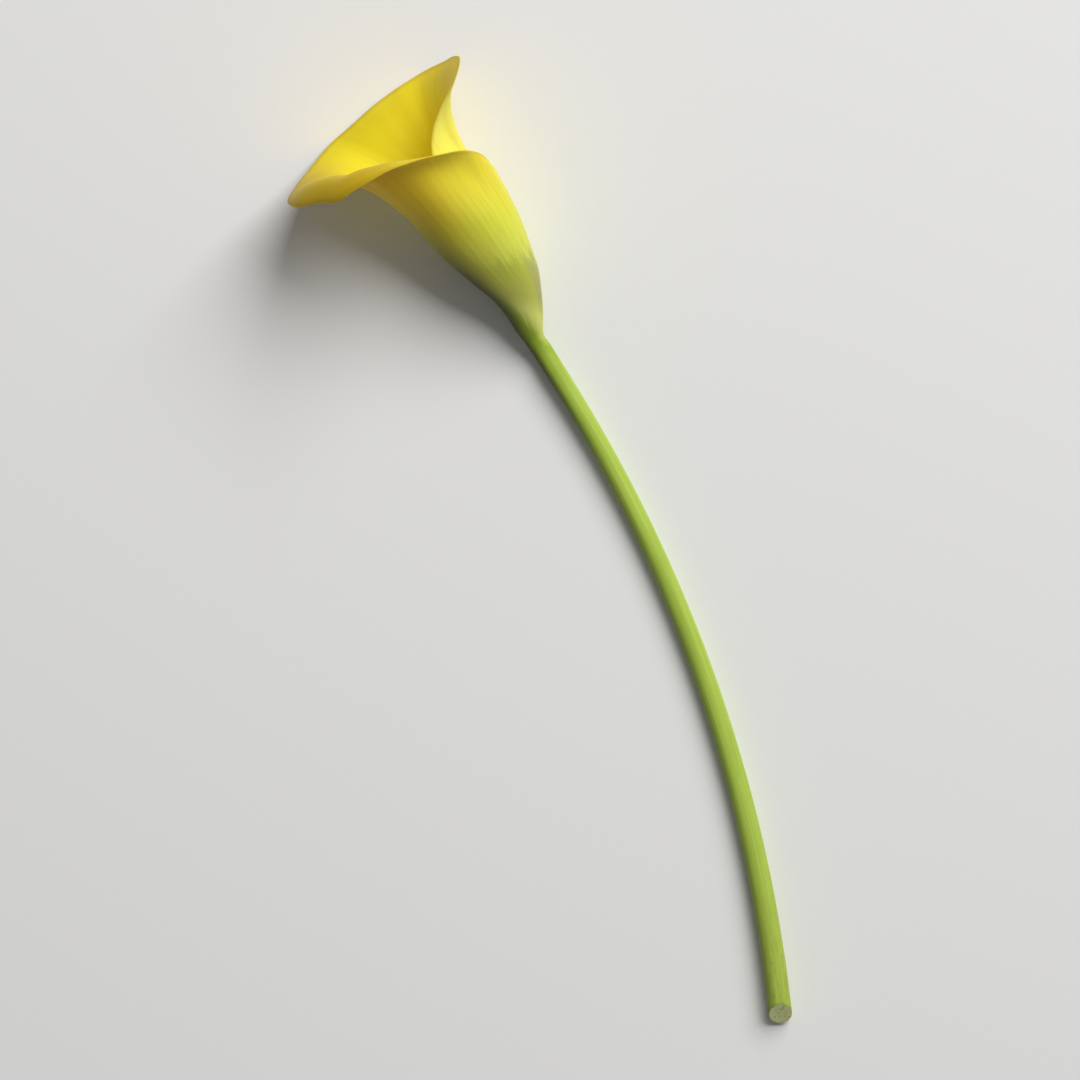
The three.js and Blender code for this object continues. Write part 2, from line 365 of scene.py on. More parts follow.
def lines(tree, sheet, spacing, run, detail=2.0, lift=0.0):
    """Noise for lines that lie spacing apart and stay alike over run, in mm. Each lift gives other lines."""
    scale = (sheet[0] / spacing, sheet[1] / run, 1)
    stretch = {"Vector": sheet_uv(tree), "Scale": scale, "Location": (0, 0, lift)}
    placed = add(tree, "ShaderNodeMapping", stretch).outputs["Vector"]
    sockets = {"Vector": placed, "Scale": 1.0, "Detail": detail, "Roughness": LINE_ROUGHNESS}
    return add(tree, "ShaderNodeTexNoise", sockets).outputs["Fac"]


print("lines 1 mm apart:", SPATHE_SHEET[0], "round the tube and", STALK_SHEET[0], "round the stalk")

# %% [markdown]
# The other steps that the materials share get a small function each. They read a number that the vertices
# carry, join two numbers, turn part of a pattern into a strength, give even grain that knows nothing of the
# sheet, and lay on colours and reliefs.

# %% Numbers, tints and reliefs
def reading(tree, name):
    """A number that the vertices carry."""
    return add(tree, "ShaderNodeAttribute", attribute_name=name).outputs["Fac"]


def sheet_height(tree):
    """How far along its sheet a point lies, from 0 to 1."""
    return add(tree, "ShaderNodeSeparateXYZ", {0: sheet_uv(tree)}).outputs["Y"]


def joined(tree, operation, first, second):
    return add(tree, "ShaderNodeMath", {0: first, 1: second}, operation=operation).outputs[0]


def between(tree, value, low, high, least=0.0, most=1.0):
    """Turns the part of a pattern between low and high into a strength."""
    sockets = {0: value, 1: low, 2: high, 3: least, 4: most}
    return add(tree, "ShaderNodeMapRange", sockets, interpolation_type="SMOOTHSTEP").outputs[0]


def grain(tree, per_metre, detail=2.0):
    """Even noise in the piece's own coordinates."""
    place = add(tree, "ShaderNodeTexCoord").outputs["Object"]
    sockets = {"Vector": place, "Scale": per_metre, "Detail": detail}
    return add(tree, "ShaderNodeTexNoise", sockets).outputs["Fac"]


def ramp(tree, factor, stops):
    return add(tree, "ShaderNodeValToRGB", {"Fac": factor}, stops=stops).outputs["Color"]


def tinted(tree, strength, colour, tint):
    """Lays a tint over a colour. Each is given as hex or as a node's output."""
    below, above = (linear(given) if isinstance(given, str) else given for given in (colour, tint))
    return add(tree, "ShaderNodeMix", {"Factor": strength, 6: below, 7: above}, data_type="RGBA").outputs[2]


def bumped(tree, pattern, strength, depth, **more):
    """A relief of a pattern, depth in mm."""
    sockets = {"Height": pattern, "Strength": strength, "Distance": depth * MM, **more}
    return add(tree, "ShaderNodeBump", sockets).outputs["Normal"]


def dress(tree, shader, colour, normal):
    tree.links.new(colour, shader.inputs["Base Color"])
    tree.links.new(normal, shader.inputs["Normal"])


print("small steps", [step.__name__ for step in (reading, joined, between, grain, ramp, tinted, bumped)])

# %% [markdown]
# ### Petal tissue
# A spathe is living tissue 0.5 to 0.8 mm thick, full of water, with its yellow pigment in the skin cells.
# Light goes in, scatters and comes out warmer, some of it on the far side, so the shader gets subsurface
# scattering over about a millimetre. The skin is waxy over tiny domed cells, which gives a broad soft sheen
# and no highlight with an edge.
#
# Outside, the yellow turns to lime and then to the stalk's green towards the foot, with a dull grey blush in
# between. These zones don't lie square to the axis. The yellows climb from the right side to the left, and
# the stalk's green does so far more: on the right the pale petal reaches down to the stalk, while on the left
# the green goes on up the tube, partly as painted shade. So each vertex carries two numbers, its rise above
# the slanted foot line of the yellows and its height above the border of the green. Colour ramps read them.
# A third says how far it lies on the side of the tube turned away from the light: there a deep olive is
# painted in, a painted shade.

# %% Zones up the outside
FOOT_CLIMB = 16  # mm that the foot line is higher on the bloom's left than on its right
GREEN_LEAST = 1  # mm from the foot up to the border of the green, where that is lowest
GREEN_CLIMB = 28  # mm higher on the far side: partly the tube's own green, partly painted shade
GREEN_LOWEST = math.radians(330)  # wrap angle where it is lowest
RISE_SCALE = 100  # mm of rise to one unit of the attributes

# Rise in mm, and the colour there.
OUTSIDE_ZONES = [
    (0, "#dde27c"),
    (13, "#dee16c"),
    (20, "#dbdf60"),
    (28, "#dee45c"),
    (40, "#e7e84e"),
    (54, "#efe242"),
    (78, "#f5dc32"),
    (100, "#f0d21e"),
]
# Painted shade: the tube's side turned from the light is darkened to a deep olive.
SHADE_MOST = 0.95
SHADE_STARTS = (60, 120)  # wrap angles where the painted shade comes in, and below, where it goes again
SHADE_ENDS = (252, 202)


def rise(wrap, height):
    return height - FOOT_CLIMB * (1 - math.cos(math.radians(wrap))) / 2


def above_green(wrap, height):
    return height - GREEN_LEAST - GREEN_CLIMB * (1 - math.cos(math.radians(wrap) - GREEN_LOWEST)) / 2


# How strongly the painted shade darkens a point, by its wrap angle.
def shade_round(wrap):
    return SHADE_MOST * ease(wrap, *SHADE_STARTS) * ease(wrap, *SHADE_ENDS)


print("border of the green, mm up the left side", -above_green(180, 0))

# %% [markdown]
# The blush is where the stalk's brown-red pigment shows through the yellow. It fades out downwards, and ends
# upwards in soft lengthwise tongues, because the pigment follows the veins. So its upper border is not one
# height: noise that is stretched along the veins pushes it up and down by a few millimetres. On the bloom's
# right side it turns from olive to mauve. The layer of the roll that lies innermost, at the right of the
# mouth, is painted paler and brighter, a painted glow where the light catches it and shines through. Under
# the lip the sheet is painted a deeper gold, a painted shade, and the last millimetre or two at its rim is
# painted darker, a painted shade line.

# %% Petal tissue, outside
PETAL = {
    "Roughness": 0.52,
    "IOR": 1.4,
    "Specular_IOR_Level": 0.3,
    "Subsurface_Weight": 0.5,
    "Subsurface_Scale": 1.0 * MM,
}
SPREAD = (0.3, 0.7)  # the part of a noise between which a border is pushed from end to end
WAVER = 0.03  # of rise, for all the zones
WAVER_WIDTH = 2.2  # mm from one waver to the next
WAVER_RUN = 30  # mm that a pattern stays alike up the sheet, here and below
BLUSH_FOOT = (0.03, 0.11)  # rise over which the blush grows in, and below, over which it fades out again
BLUSH_TOP = (0.29, 0.21)
BLUSH_PUSH = 0.06  # of rise, between the longest tongue and the deepest notch
TONGUE_WIDTH = 1.9  # mm from one tongue to the next
TONGUE_RUN = 16
OLIVE_BLUSH = "#9ca238"
MAUVE_BLUSH = "#a7a27c"
# Painted light: a paler, brighter yellow where the inner layer catches the light and glows through.
INNER_GLOW_YELLOW = "#f8ee64"
# Painted shade: a deeper gold under the lip, on the tube's upper left.
SIDE_GOLD_SHADE = "#deb61e"
GREEN_BORDER = (0.03, -0.07)  # height above the border, scaled like the rise, over which the green comes in
NECK_GREEN = "#9db436"
# Painted shade: a deep olive over the yellows and a dark green over the stalk's green, on the side turned
# from the light.
SHADED_YELLOW = "#484404"
SHADED_GREEN = "#46540a"
VEIN_SPACING = 1.5  # mm
VEIN_RUN = 34
VEIN_CORE = (0.44, 0.66)  # the part of their noise over which they come in
VEIN_RISE = (0.02, 0.3)  # rise over which they show more
VEINS = (0.04, 0.14)  # how strongly they show at the foot, where they crowd, and higher up
VEIN_TINT = "#b39c20"
RELIEF_RISE = (0, 0.4)
VEIN_RELIEF = (0.04, 0.18)  # strength of their relief: less at the foot, where crowding makes it steeper
VEIN_DEPTH = 0.15  # mm
# Painted shade: a darker tint along the last of the rim, for the line of shade at its edge and to dull the
# light it catches.
RIM_STARTS = 0.975  # share of the way up the sheet
RIM_OUTSIDE = 0.5  # strength of its tint
RIM_SHADE_TINT = "#c0a01c"
CELLS = 0.35  # mm; real skin cells are ten times finer and would not show
CELL_RELIEF = (0.1, 0.1)  # strength, and depth in mm


def zoned(tree, height, zones):
    """A ramp through zones that are given in mm."""
    return ramp(tree, height, [(mm / RISE_SCALE, colour) for mm, colour in zones])


def blushed(tree, height, colour):
    """Lays the blush over a colour, olive round the top of the tube and mauve on its right."""
    pattern = lines(tree, SPATHE_SHEET, TONGUE_WIDTH, TONGUE_RUN, lift=4)
    push = between(tree, pattern, *SPREAD, -BLUSH_PUSH / 2, BLUSH_PUSH / 2)
    top = between(tree, joined(tree, "ADD", height, push), *BLUSH_TOP)
    blush = joined(tree, "MULTIPLY", between(tree, height, *BLUSH_FOOT), top)
    olive = joined(tree, "MULTIPLY", blush, reading(tree, "dull"))
    mauve = joined(tree, "MULTIPLY", blush, reading(tree, "flush"))
    return tinted(tree, mauve, tinted(tree, olive, colour, OLIVE_BLUSH), MAUVE_BLUSH)


def outside_colour(tree, height):
    """Everything but the veins and the rim."""
    pattern = lines(tree, SPATHE_SHEET, WAVER_WIDTH, WAVER_RUN)
    waver = between(tree, pattern, *SPREAD, -WAVER / 2, WAVER / 2)
    yellows = zoned(tree, joined(tree, "ADD", height, waver), OUTSIDE_ZONES)
    # Painted light: the inner layer at the right of the mouth glows paler.
    glow_paled = tinted(tree, reading(tree, "inner"), blushed(tree, height, yellows), INNER_GLOW_YELLOW)
    # Painted shade: a deeper gold under the lip.
    gold_shaded = tinted(tree, reading(tree, "gold"), glow_paled, SIDE_GOLD_SHADE)
    stalk = between(tree, joined(tree, "ADD", reading(tree, "above_green"), waver), *GREEN_BORDER)
    greened = tinted(tree, stalk, gold_shaded, NECK_GREEN)
    # Painted shade: the side turned from the light darkens to a deep olive.
    return tinted(tree, reading(tree, "shade"), greened, tinted(tree, stalk, SHADED_YELLOW, SHADED_GREEN))


def petal_outside():
    radius = (1.0, 0.8, 0.15)
    material, tree, shader = new_material("waxy petal tissue, outside", Subsurface_Radius=radius, **PETAL)
    height = reading(tree, "rise")
    pattern = lines(tree, SPATHE_SHEET, VEIN_SPACING, VEIN_RUN, detail=3)
    veins = between(tree, pattern, *VEIN_CORE, 0, between(tree, height, *VEIN_RISE, *VEINS))
    veined = tinted(tree, veins, outside_colour(tree, height), VEIN_TINT)
    # Painted shade along the rim.
    rim = between(tree, sheet_height(tree), RIM_STARTS, 1, 0, RIM_OUTSIDE)
    skin = bumped(tree, grain(tree, 1 / (CELLS * MM), detail=1.0), *CELL_RELIEF)
    crowding = between(tree, height, *RELIEF_RISE, *VEIN_RELIEF)
    ribbed = bumped(tree, pattern, crowding, VEIN_DEPTH, Normal=skin)
    dress(tree, shader, tinted(tree, rim, veined, RIM_SHADE_TINT), ribbed)
    return material


print("outside zones", len(OUTSIDE_ZONES), "veins round the tube", round(SPATHE_SHEET[0] / VEIN_SPACING))

# %% [markdown]
# Inside, the sheet is a purer and deeper gold, a little greener far down the throat. On the lip, which faces
# away from the light, a deeper gold is painted in as shade, and along the rim a browner painted shade line.

# %% Petal tissue, inside
# Height above the foot in mm, and the colour there.
INSIDE_ZONES = [
    (0, "#9aa424"),
    (18, "#c8b41a"),
    (45, "#f5de22"),
    (65, "#fbe82e"),
    (85, "#f8e226"),
    (100, "#f0d21e"),
]
LIP = (0.8, 0.96)  # share of the way up the sheet over which the lip's painted shade, a deeper gold, comes in
LIP_GOLD_SHADE = "#a8820a"
# For the patterns: the part of their noise over which they come in, and their least and most strength.
CLOUDS = (0.4, 0.65, 0, 0.16)
CLOUD_WIDTH = 9  # mm
CLOUD_RUN = 35
CLOUD_TINT = "#e0bb12"
INSIDE_VEINS = (0.5, 0.75, 0, 0.15)
INSIDE_VEIN_SPACING = 1.1
INSIDE_VEIN_RUN = 50
INSIDE_VEIN_TINT = "#cda512"
INSIDE_VEIN_RELIEF = (0.15, 0.15)  # strength, and depth in mm
# Painted shade: a darker tint along the rim.
RIM_INSIDE = 0.4
RIM_SHADE_BROWN = "#a68a1a"


def petal_inside():
    radius = (1.0, 0.8, 0.12)
    material, tree, shader = new_material("waxy petal tissue, inside", Subsurface_Radius=radius, **PETAL)
    upward = sheet_height(tree)
    # Painted shade: the lip, turned away from the light, is a deeper gold.
    lip = joined(tree, "MULTIPLY", reading(tree, "gold"), between(tree, upward, *LIP))
    gold_shaded = tinted(tree, lip, zoned(tree, reading(tree, "height"), INSIDE_ZONES), LIP_GOLD_SHADE)
    clouds = between(tree, lines(tree, SPATHE_SHEET, CLOUD_WIDTH, CLOUD_RUN, lift=7), *CLOUDS)
    clouded = tinted(tree, clouds, gold_shaded, CLOUD_TINT)
    pattern = lines(tree, SPATHE_SHEET, INSIDE_VEIN_SPACING, INSIDE_VEIN_RUN, detail=3)
    veined = tinted(tree, between(tree, pattern, *INSIDE_VEINS), clouded, INSIDE_VEIN_TINT)
    # Painted shade along the rim.
    rimmed = tinted(tree, between(tree, upward, RIM_STARTS, 1, 0, RIM_INSIDE), veined, RIM_SHADE_BROWN)
    dress(tree, shader, rimmed, bumped(tree, pattern, *INSIDE_VEIN_RELIEF))
    return material


print("inside zones", len(INSIDE_ZONES))

# %% [markdown]
# ### Build the sheet
# The grid comes flat from one operator, with its UV map. Each vertex is then moved to its place on the roll.
# Solidify gives the sheet its thickness inwards, thinner towards the rim and almost nothing at the foot,
# where it has grown onto the stalk. One level of subdivision rounds the cut edges.

# %% Make the spathe
SPATHE_COLUMNS = 190
SPATHE_ROWS = 54
SPATHE_THICKNESS = 0.8
FOOT_SHARE = 0.2  # of that thickness
FOOT_ENDS = 0.1  # share of the way up where the sheet has grown to its full thickness
RIM_SHARE = 0.65
CLEARANCE = 0.02  # mm above the surface
DULL_MOST = 0.45
DULL_SIDE = (220, 280)  # wrap angles between which the blush comes in
FLUSH_MOST = 0.55
FLUSH_STARTS = (296, 318)  # wrap angles between which it turns mauve
FLUSH_ENDS = (348, 330)
# Painted shade: a deeper gold under the lip and on its rolled band.
GOLD_SHADE_MOST = 0.6
GOLD_SHADE_SIDE = (290, 225)  # wrap angles between which the painted shade, a deeper gold, comes in
GOLD_SHADE_HEIGHTS = (22, 70)  # and mm from the foot
GOLD_SHADE_END = (125, 168)  # on the left end of the mouth it stops again
INNER_LAYER = (50, 0)  # wrap angles between which the painted glow, a paler yellow, comes in
SHADE_HEIGHTS = (74, 28)  # mm from the foot between which the painted shade fades in


def flat_grid(columns, rows):
    """A flat sheet from 0 to 1 each way, with a UV map that says the same."""
    bm = bmesh.new()
    bm.loops.layers.uv.new("sheet")
    middle = Matrix.Translation((0.5, 0.5, 0))
    bmesh.ops.create_grid(bm, x_segments=columns, y_segments=rows, size=0.5, matrix=middle, calc_uvs=True)
    return bm


def finish_piece(bm, name, materials):
    mesh = bpy.data.meshes.new(name)
    bm.to_mesh(mesh)
    bm.free()
    for material in materials:
        mesh.materials.append(material)
    mesh.shade_smooth()
    piece = bpy.data.objects.new(name, mesh)
    bpy.context.scene.collection.objects.link(piece)
    return piece


def petal_marks(wrap, height):
    """The numbers that a vertex of the spathe carries for its materials."""
    gold_shade_round = ease(wrap, *GOLD_SHADE_SIDE) * ease(wrap, *GOLD_SHADE_END)
    return {
        "height": height / RISE_SCALE,
        "rise": rise(wrap, height) / RISE_SCALE,
        "above_green": above_green(wrap, height) / RISE_SCALE,
        "dull": DULL_MOST * ease(wrap, *DULL_SIDE),
        "flush": FLUSH_MOST * ease(wrap, *FLUSH_STARTS) * ease(wrap, *FLUSH_ENDS),
        # painted light: the inner layer's paler glow
        "inner": ease(wrap, *INNER_LAYER),
        # painted shade, a deeper gold, under the lip and on it
        "gold": GOLD_SHADE_MOST * gold_shade_round * ease(height, *GOLD_SHADE_HEIGHTS),
        # painted shade on the side turned from the light
        "shade": shade_round(wrap) * ease(height, *SHADE_HEIGHTS),
    }


def new_layers(bm, marks):
    return {name: bm.verts.layers.float.new(name) for name in marks}


def set_marks(vert, layers, marks):
    for name, value in marks.items():
        vert[layers[name]] = value


def make_spathe():
    bm = flat_grid(SPATHE_COLUMNS, SPATHE_ROWS)
    layers = new_layers(bm, petal_marks(0, 0))
    weights = bm.verts.layers.deform.verify()
    for vert in bm.verts:
        around, along = vert.co.x, vert.co.y
        wrap, height, reach = spathe_place(around, along)
        point = bloom_point(wrap, height, reach)
        set_marks(vert, layers, petal_marks(wrap, height))
        vert[weights][0] = blend(FOOT_SHARE, blend(1, RIM_SHARE, along), ease(along, 0, FOOT_ENDS))
        vert.co = bloom_frame @ (point + spathe_normal(around, along) * relief(point, around, along))
        vert.co.z = max(vert.co.z, CLEARANCE * MM)
    piece = finish_piece(bm, "spathe_sheet", [petal_outside(), petal_inside()])
    piece.vertex_groups.new(name="thickness")
    solidify = piece.modifiers.new("thickness", "SOLIDIFY")
    solidify.thickness = SPATHE_THICKNESS * MM
    solidify.offset = -1
    solidify.vertex_group = "thickness"
    solidify.material_offset = 1
    smooth = piece.modifiers.new("rounding", "SUBSURF")
    smooth.levels = smooth.render_levels = 1
    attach(piece, "root")
    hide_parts("spathe")
    return piece


spathe = make_spathe()
print("spathe faces before its modifiers", len(spathe.data.polygons))

# %% [markdown]
# ## The stem
# The stalk bends evenly in plan, sinks from the bloom to the surface and comes off it again at the cut. A
# bevelled curve would give a tube, but not the flat where it rests, the low flutes or the slanted cut. So it
# is rolled from a flat grid too, and its seam is merged. Its upper end runs on inside the spathe's foot as a
# thin peg that carries the spadix.

# %% The stem's measures and its middle line
STEM_LENGTH = 245
STEM_BEARINGS = (math.radians(34), math.radians(6))  # from -Y towards +X
STEM_RADII = (3.35, 4.0)
STEM_CUT = math.radians(40)
STEM_HEIGHT = [(0, 5.4), (12, 4.7), (90, 3.43), (150, 3.57), (245, 5.1)]
STEM_STRAIGHT = 2  # mm that the stem goes on in the bloom's direction
STEM_SWINGS = 12  # mm from the bloom where it has turned into its own direction
PEG_HEIGHT = 3.4
# Length from the bloom, and radius there. The top lies inside the spathe's foot, and takes its edge in where
# both are equally thick and run the same way, so that the one grows out of the other with no crease.
STEM_RADIUS = [
    (-PEG_HEIGHT, 1.3),
    (-2, 1.5),
    (-1, 3.2),
    (0.3, 3.35),
    (FOOT_LAP, 3.42),
    (6, 3.4),
    (25, STEM_RADII[0]),
    (STEM_LENGTH, STEM_RADII[1]),
]
stem_height = through(STEM_HEIGHT)
stem_radius = through(STEM_RADIUS)


def stem_arc(length):
    """The even bend of the stalk, at a length from the bloom."""
    first, last = STEM_BEARINGS
    bend = (last - first) / STEM_LENGTH
    bearing = first + bend * length
    right = (math.cos(first) - math.cos(bearing)) / bend
    back = (math.sin(bearing) - math.sin(first)) / bend
    return Vector((BLOOM_BASE.x + right, BLOOM_BASE.y - back, stem_height(length)))


def stem_middle(length):
    """The stalk's middle. A length below nought runs up inside the bloom."""
    if length <= STEM_STRAIGHT:
        return BLOOM_BASE - bloom_axis * length
    if length >= STEM_SWINGS:
        return stem_arc(length)
    way = STEM_SWINGS - STEM_STRAIGHT
    start, end = stem_middle(STEM_STRAIGHT), stem_arc(STEM_SWINGS)
    arrive = (stem_arc(STEM_SWINGS + 1) - end) * way
    return hermite((length - STEM_STRAIGHT) / way, start, end, -bloom_axis * way, arrive)


print("cut end, mm", [round(c, 1) for c in stem_middle(STEM_LENGTH)])

# %% [markdown]
# ### Stalk skin and the fresh cut
# The stalk's skin is smooth, juicy and yellow-green, with fine lengthwise lines over the bundles of fibres
# under it, and a faint brown-red flush towards the end that grew out of the ground. Next to the bloom its
# green is deeper. The bloom's painted shade, a deep olive on the side turned from the light, goes on down it,
# fainter, and on the right the pale petal tissue reaches a few millimetres onto it. The cut face shows the
# pale spongy pith, with the ends of those bundles as darker dots.

# %% Stalk skin
FIBRE_SPACING = 0.55  # mm
FIBRE_RUN = 45  # mm that a pattern stays alike along the stalk, here and below
FIBRE_GREENS = [(0.3, "#aac348"), (0.5, "#b4cd50"), (0.7, "#bed65c")]
FIBRE_RELIEF = (0.2, 0.15)  # strength, and depth in mm
# For the patterns: the part of their noise over which they come in, and their least and most strength.
MOTTLES = (0.4, 0.7, 0, 0.25)
MOTTLE_WIDTH = 7
MOTTLE_RUN = 25
MOTTLE_GREEN = "#9cb63c"
SPECKLES = (0.45, 0.7, 0.25, 1)
SPECKLE_WIDTH = 1.2
SPECKLE_RUN = 6
NECK = (0.02, 0.1)  # share of the way down over which the deeper green next to the bloom turns lighter
LOW_FLUSH = (0.72, 1.0, 0, 0.3)  # share of the way down over which the flush comes in, and its strength
FLUSH_BROWN = "#7a5030"


def stalk_skin():
    material, tree, shader = new_material(
        "fleshy stalk skin",
        Roughness=0.5,
        IOR=1.4,
        Specular_IOR_Level=0.35,
        Subsurface_Weight=0.25,
        Subsurface_Radius=(0.6, 1.0, 0.2),
        Subsurface_Scale=1.5 * MM,
    )
    fibres = lines(tree, STALK_SHEET, FIBRE_SPACING, FIBRE_RUN, detail=3)
    mottles = between(tree, lines(tree, STALK_SHEET, MOTTLE_WIDTH, MOTTLE_RUN, lift=5), *MOTTLES)
    mottled = tinted(tree, mottles, ramp(tree, fibres, FIBRE_GREENS), MOTTLE_GREEN)
    downward = sheet_height(tree)
    necked = tinted(tree, between(tree, downward, *NECK), NECK_GREEN, mottled)
    green = between(tree, reading(tree, "above_green"), *GREEN_BORDER)
    grown = tinted(tree, green, OUTSIDE_ZONES[0][1], necked)
    speckles = between(tree, lines(tree, STALK_SHEET, SPECKLE_WIDTH, SPECKLE_RUN, lift=2), *SPECKLES)
    flush = joined(tree, "MULTIPLY", speckles, between(tree, downward, *LOW_FLUSH))
    flushed = tinted(tree, flush, grown, FLUSH_BROWN)
    # Painted shade: the stalk's side turned from the light is darker.
    shaded = tinted(tree, reading(tree, "shade"), flushed, SHADED_GREEN)
    dress(tree, shader, shaded, bumped(tree, fibres, *FIBRE_RELIEF))
    return material


print("fibre lines round the stalk", round(STALK_SHEET[0] / FIBRE_SPACING))

# %% Cut face
BUNDLE_SPACING = 1.15  # mm between the bundles' ends
# Way from a bundle's middle, in spacings, and the colour there.
PITH = [(0.10, "#8fa03c"), (0.24, "#dde58e"), (0.5, "#f0f4b0")]
SPONGE_GRAINS = 3500.0  # to the metre
SPONGE_RELIEF = (0.5, 0.2)  # strength, and depth in mm


def cut_face():
    material, tree, shader = new_material(
        "spongy pith, fresh cut",
        Roughness=0.45,
        Subsurface_Weight=0.3,
        Subsurface_Radius=(1.0, 0.9, 0.4),
        Subsurface_Scale=1.5 * MM,
    )
    place = add(tree, "ShaderNodeTexCoord").outputs["Object"]
    bundles = add(tree, "ShaderNodeTexVoronoi", {"Vector": place, "Scale": 1 / (BUNDLE_SPACING * MM)})
    pith = ramp(tree, bundles.outputs["Distance"], PITH)
    dress(tree, shader, pith, bumped(tree, grain(tree, SPONGE_GRAINS), *SPONGE_RELIEF))
    return material


print("bundles across the cut", round(2 * STEM_RADII[1] / BUNDLE_SPACING))

# %% Make the stem
STEM_SIDES = 48
STEM_STEPS = 190
FLUTES = 11
FLUTE_DEPTH = 0.015
FLUTES_START = (2, 30)  # mm from the bloom between which the flutes come in
STALK_SHADE = (1.0, 0.5)  # of the bloom's painted shade, at the bloom and further down
STALK_SHADE_FADES = (0, 60)
CUT_ZONE = 8  # mm over which the rings lean into the slant of the cut
CUT_EDGE = (0.2, 0.1)  # mm wide, and mm that the pith stands out behind it
CUT_DISH = (0.8, -0.2)  # mm wide, and mm that the pith sinks in again
MERGE = 0.001  # mm


def stem_point(around, length):
    direction = (stem_middle(length + SLOPE_STEP) - stem_middle(length - SLOPE_STEP)).normalized()
    side = direction.cross(Vector((0, 0, 1))).normalized()
    up = side.cross(direction)
    angle = 2 * math.pi * around
    radius = stem_radius(length) + FLUTE_DEPTH * math.sin(FLUTES * angle) * ease(length, *FLUTES_START)
    slant = ease(length, STEM_LENGTH - CUT_ZONE, STEM_LENGTH) * math.tan(STEM_CUT) * radius
    point = stem_middle(length) + radius * (side * math.cos(angle) + up * math.sin(angle))
    point -= direction * slant * math.sin(angle)
    point.z = max(point.z, 0.0)
    return point * MM


def stalk_marks(wrap, length):
    """The numbers that a vertex of the stalk carries for its skin."""
    return {
        "above_green": above_green(wrap, -length) / RISE_SCALE,
        # painted shade on the side turned from the light
        "shade": shade_round(wrap) * blend(*STALK_SHADE, ease(length, *STALK_SHADE_FADES)),
    }


def inset(bm, faces, width, depth):
    """Insets the faces, width and depth in mm, and gives the new ring of faces."""
    return bmesh.ops.inset_region(bm, faces=faces, thickness=width * MM, depth=depth * MM)["faces"]


def close_ends(bm):
    """Closes both ends of the stalk, and shapes the cut."""
    rings = [edge for edge in bm.edges if edge.is_boundary]
    caps = bmesh.ops.holes_fill(bm, edges=rings, sides=0)["faces"]
    for face in caps:
        face.material_index = 1
    bmesh.ops.recalc_face_normals(bm, faces=bm.faces)
    for face in inset(bm, caps, *CUT_EDGE):
        face.material_index = 0
    inset(bm, caps, *CUT_DISH)


def make_stem():
    bm = flat_grid(STEM_SIDES, STEM_STEPS)
    layers = new_layers(bm, stalk_marks(0, 0))
    for vert in bm.verts:
        around, along = vert.co.x, vert.co.y
        length = blend(-PEG_HEIGHT, STEM_LENGTH, along)
        set_marks(vert, layers, stalk_marks((180 + 360 * around) % 360, length))
        vert.co = stem_point(around, length)
    bmesh.ops.remove_doubles(bm, verts=bm.verts, dist=MERGE * MM)
    close_ends(bm)
    piece = finish_piece(bm, "stem_stalk", [stalk_skin(), cut_face()])
    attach(piece, "root")
    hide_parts("stem")
    return piece


stem = make_stem()
print("stem faces", len(stem.data.polygons))

# %% [markdown]
# ## The spadix
# The spadix is a thick spike packed with florets in spirals, each one a golden angle round from the last,
# which is how a plant packs them without gaps. The lower part bears round green-yellow ovaries, each with a
# small knob. All above bear pollen: squat golden pillows.
#
# An instancer would scatter copies, but a scattered mesh isn't one solid piece in the end. So one pillow with
# few faces is made once and stamped into the spike's mesh, turned, stretched and coloured each time.

# %% Florets
# Tone of a floret, and its colour: the ovaries' greens and yellows, then the pollen's golds.
FLORET_TONES = [
    (0.0, "#a9b04a"),
    (0.25, "#c9bd4c"),
    (0.5, "#d99a14"),
    (0.75, "#e8b021"),
    (1.0, "#f2c644"),
]
POLLEN_GRAINS = 4000.0  # to the metre
POLLEN_RELIEF = (0.6, 0.1)  # strength, and depth in mm
CORE_SHAPE = (16, 8)  # faces round each stamped shape, and from pole to pole
PILLOW_SHAPE = (8, 5)
KNOB_SHAPE = (6, 4)


def floret_skin():
    material, tree, shader = new_material(
        "pollen-dusted florets",
        Roughness=0.75,
        Subsurface_Weight=0.2,
        Subsurface_Radius=(1.0, 0.6, 0.1),
        Subsurface_Scale=0.6 * MM,
    )
    gold = ramp(tree, reading(tree, "tone"), FLORET_TONES)
    dress(tree, shader, gold, bumped(tree, grain(tree, POLLEN_GRAINS), *POLLEN_RELIEF))
    return material


def round_shape(segments, rings):
    """A ball of radius 1 with few faces, to stamp."""
    bm = bmesh.new()
    bmesh.ops.create_uvsphere(bm, u_segments=segments, v_segments=rings, radius=1)
    for face in bm.faces:
        face.smooth = True
    mesh = bpy.data.meshes.new("stamp")
    bm.to_mesh(mesh)
    bm.free()
    mesh.attributes.new("tone", "FLOAT", "POINT")
    return mesh


def stamp(bm, shape, place, tone):
    """Adds one copy of a shape to a bmesh, moved by place and coloured by tone."""
    copy = shape.copy()
    copy.transform(place)
    copy.attributes["tone"].data.foreach_set("value", [tone] * len(copy.vertices))
    bm.from_mesh(copy)
    bpy.data.meshes.remove(copy)


print("faces of one floret", len(round_shape(*PILLOW_SHAPE).polygons))

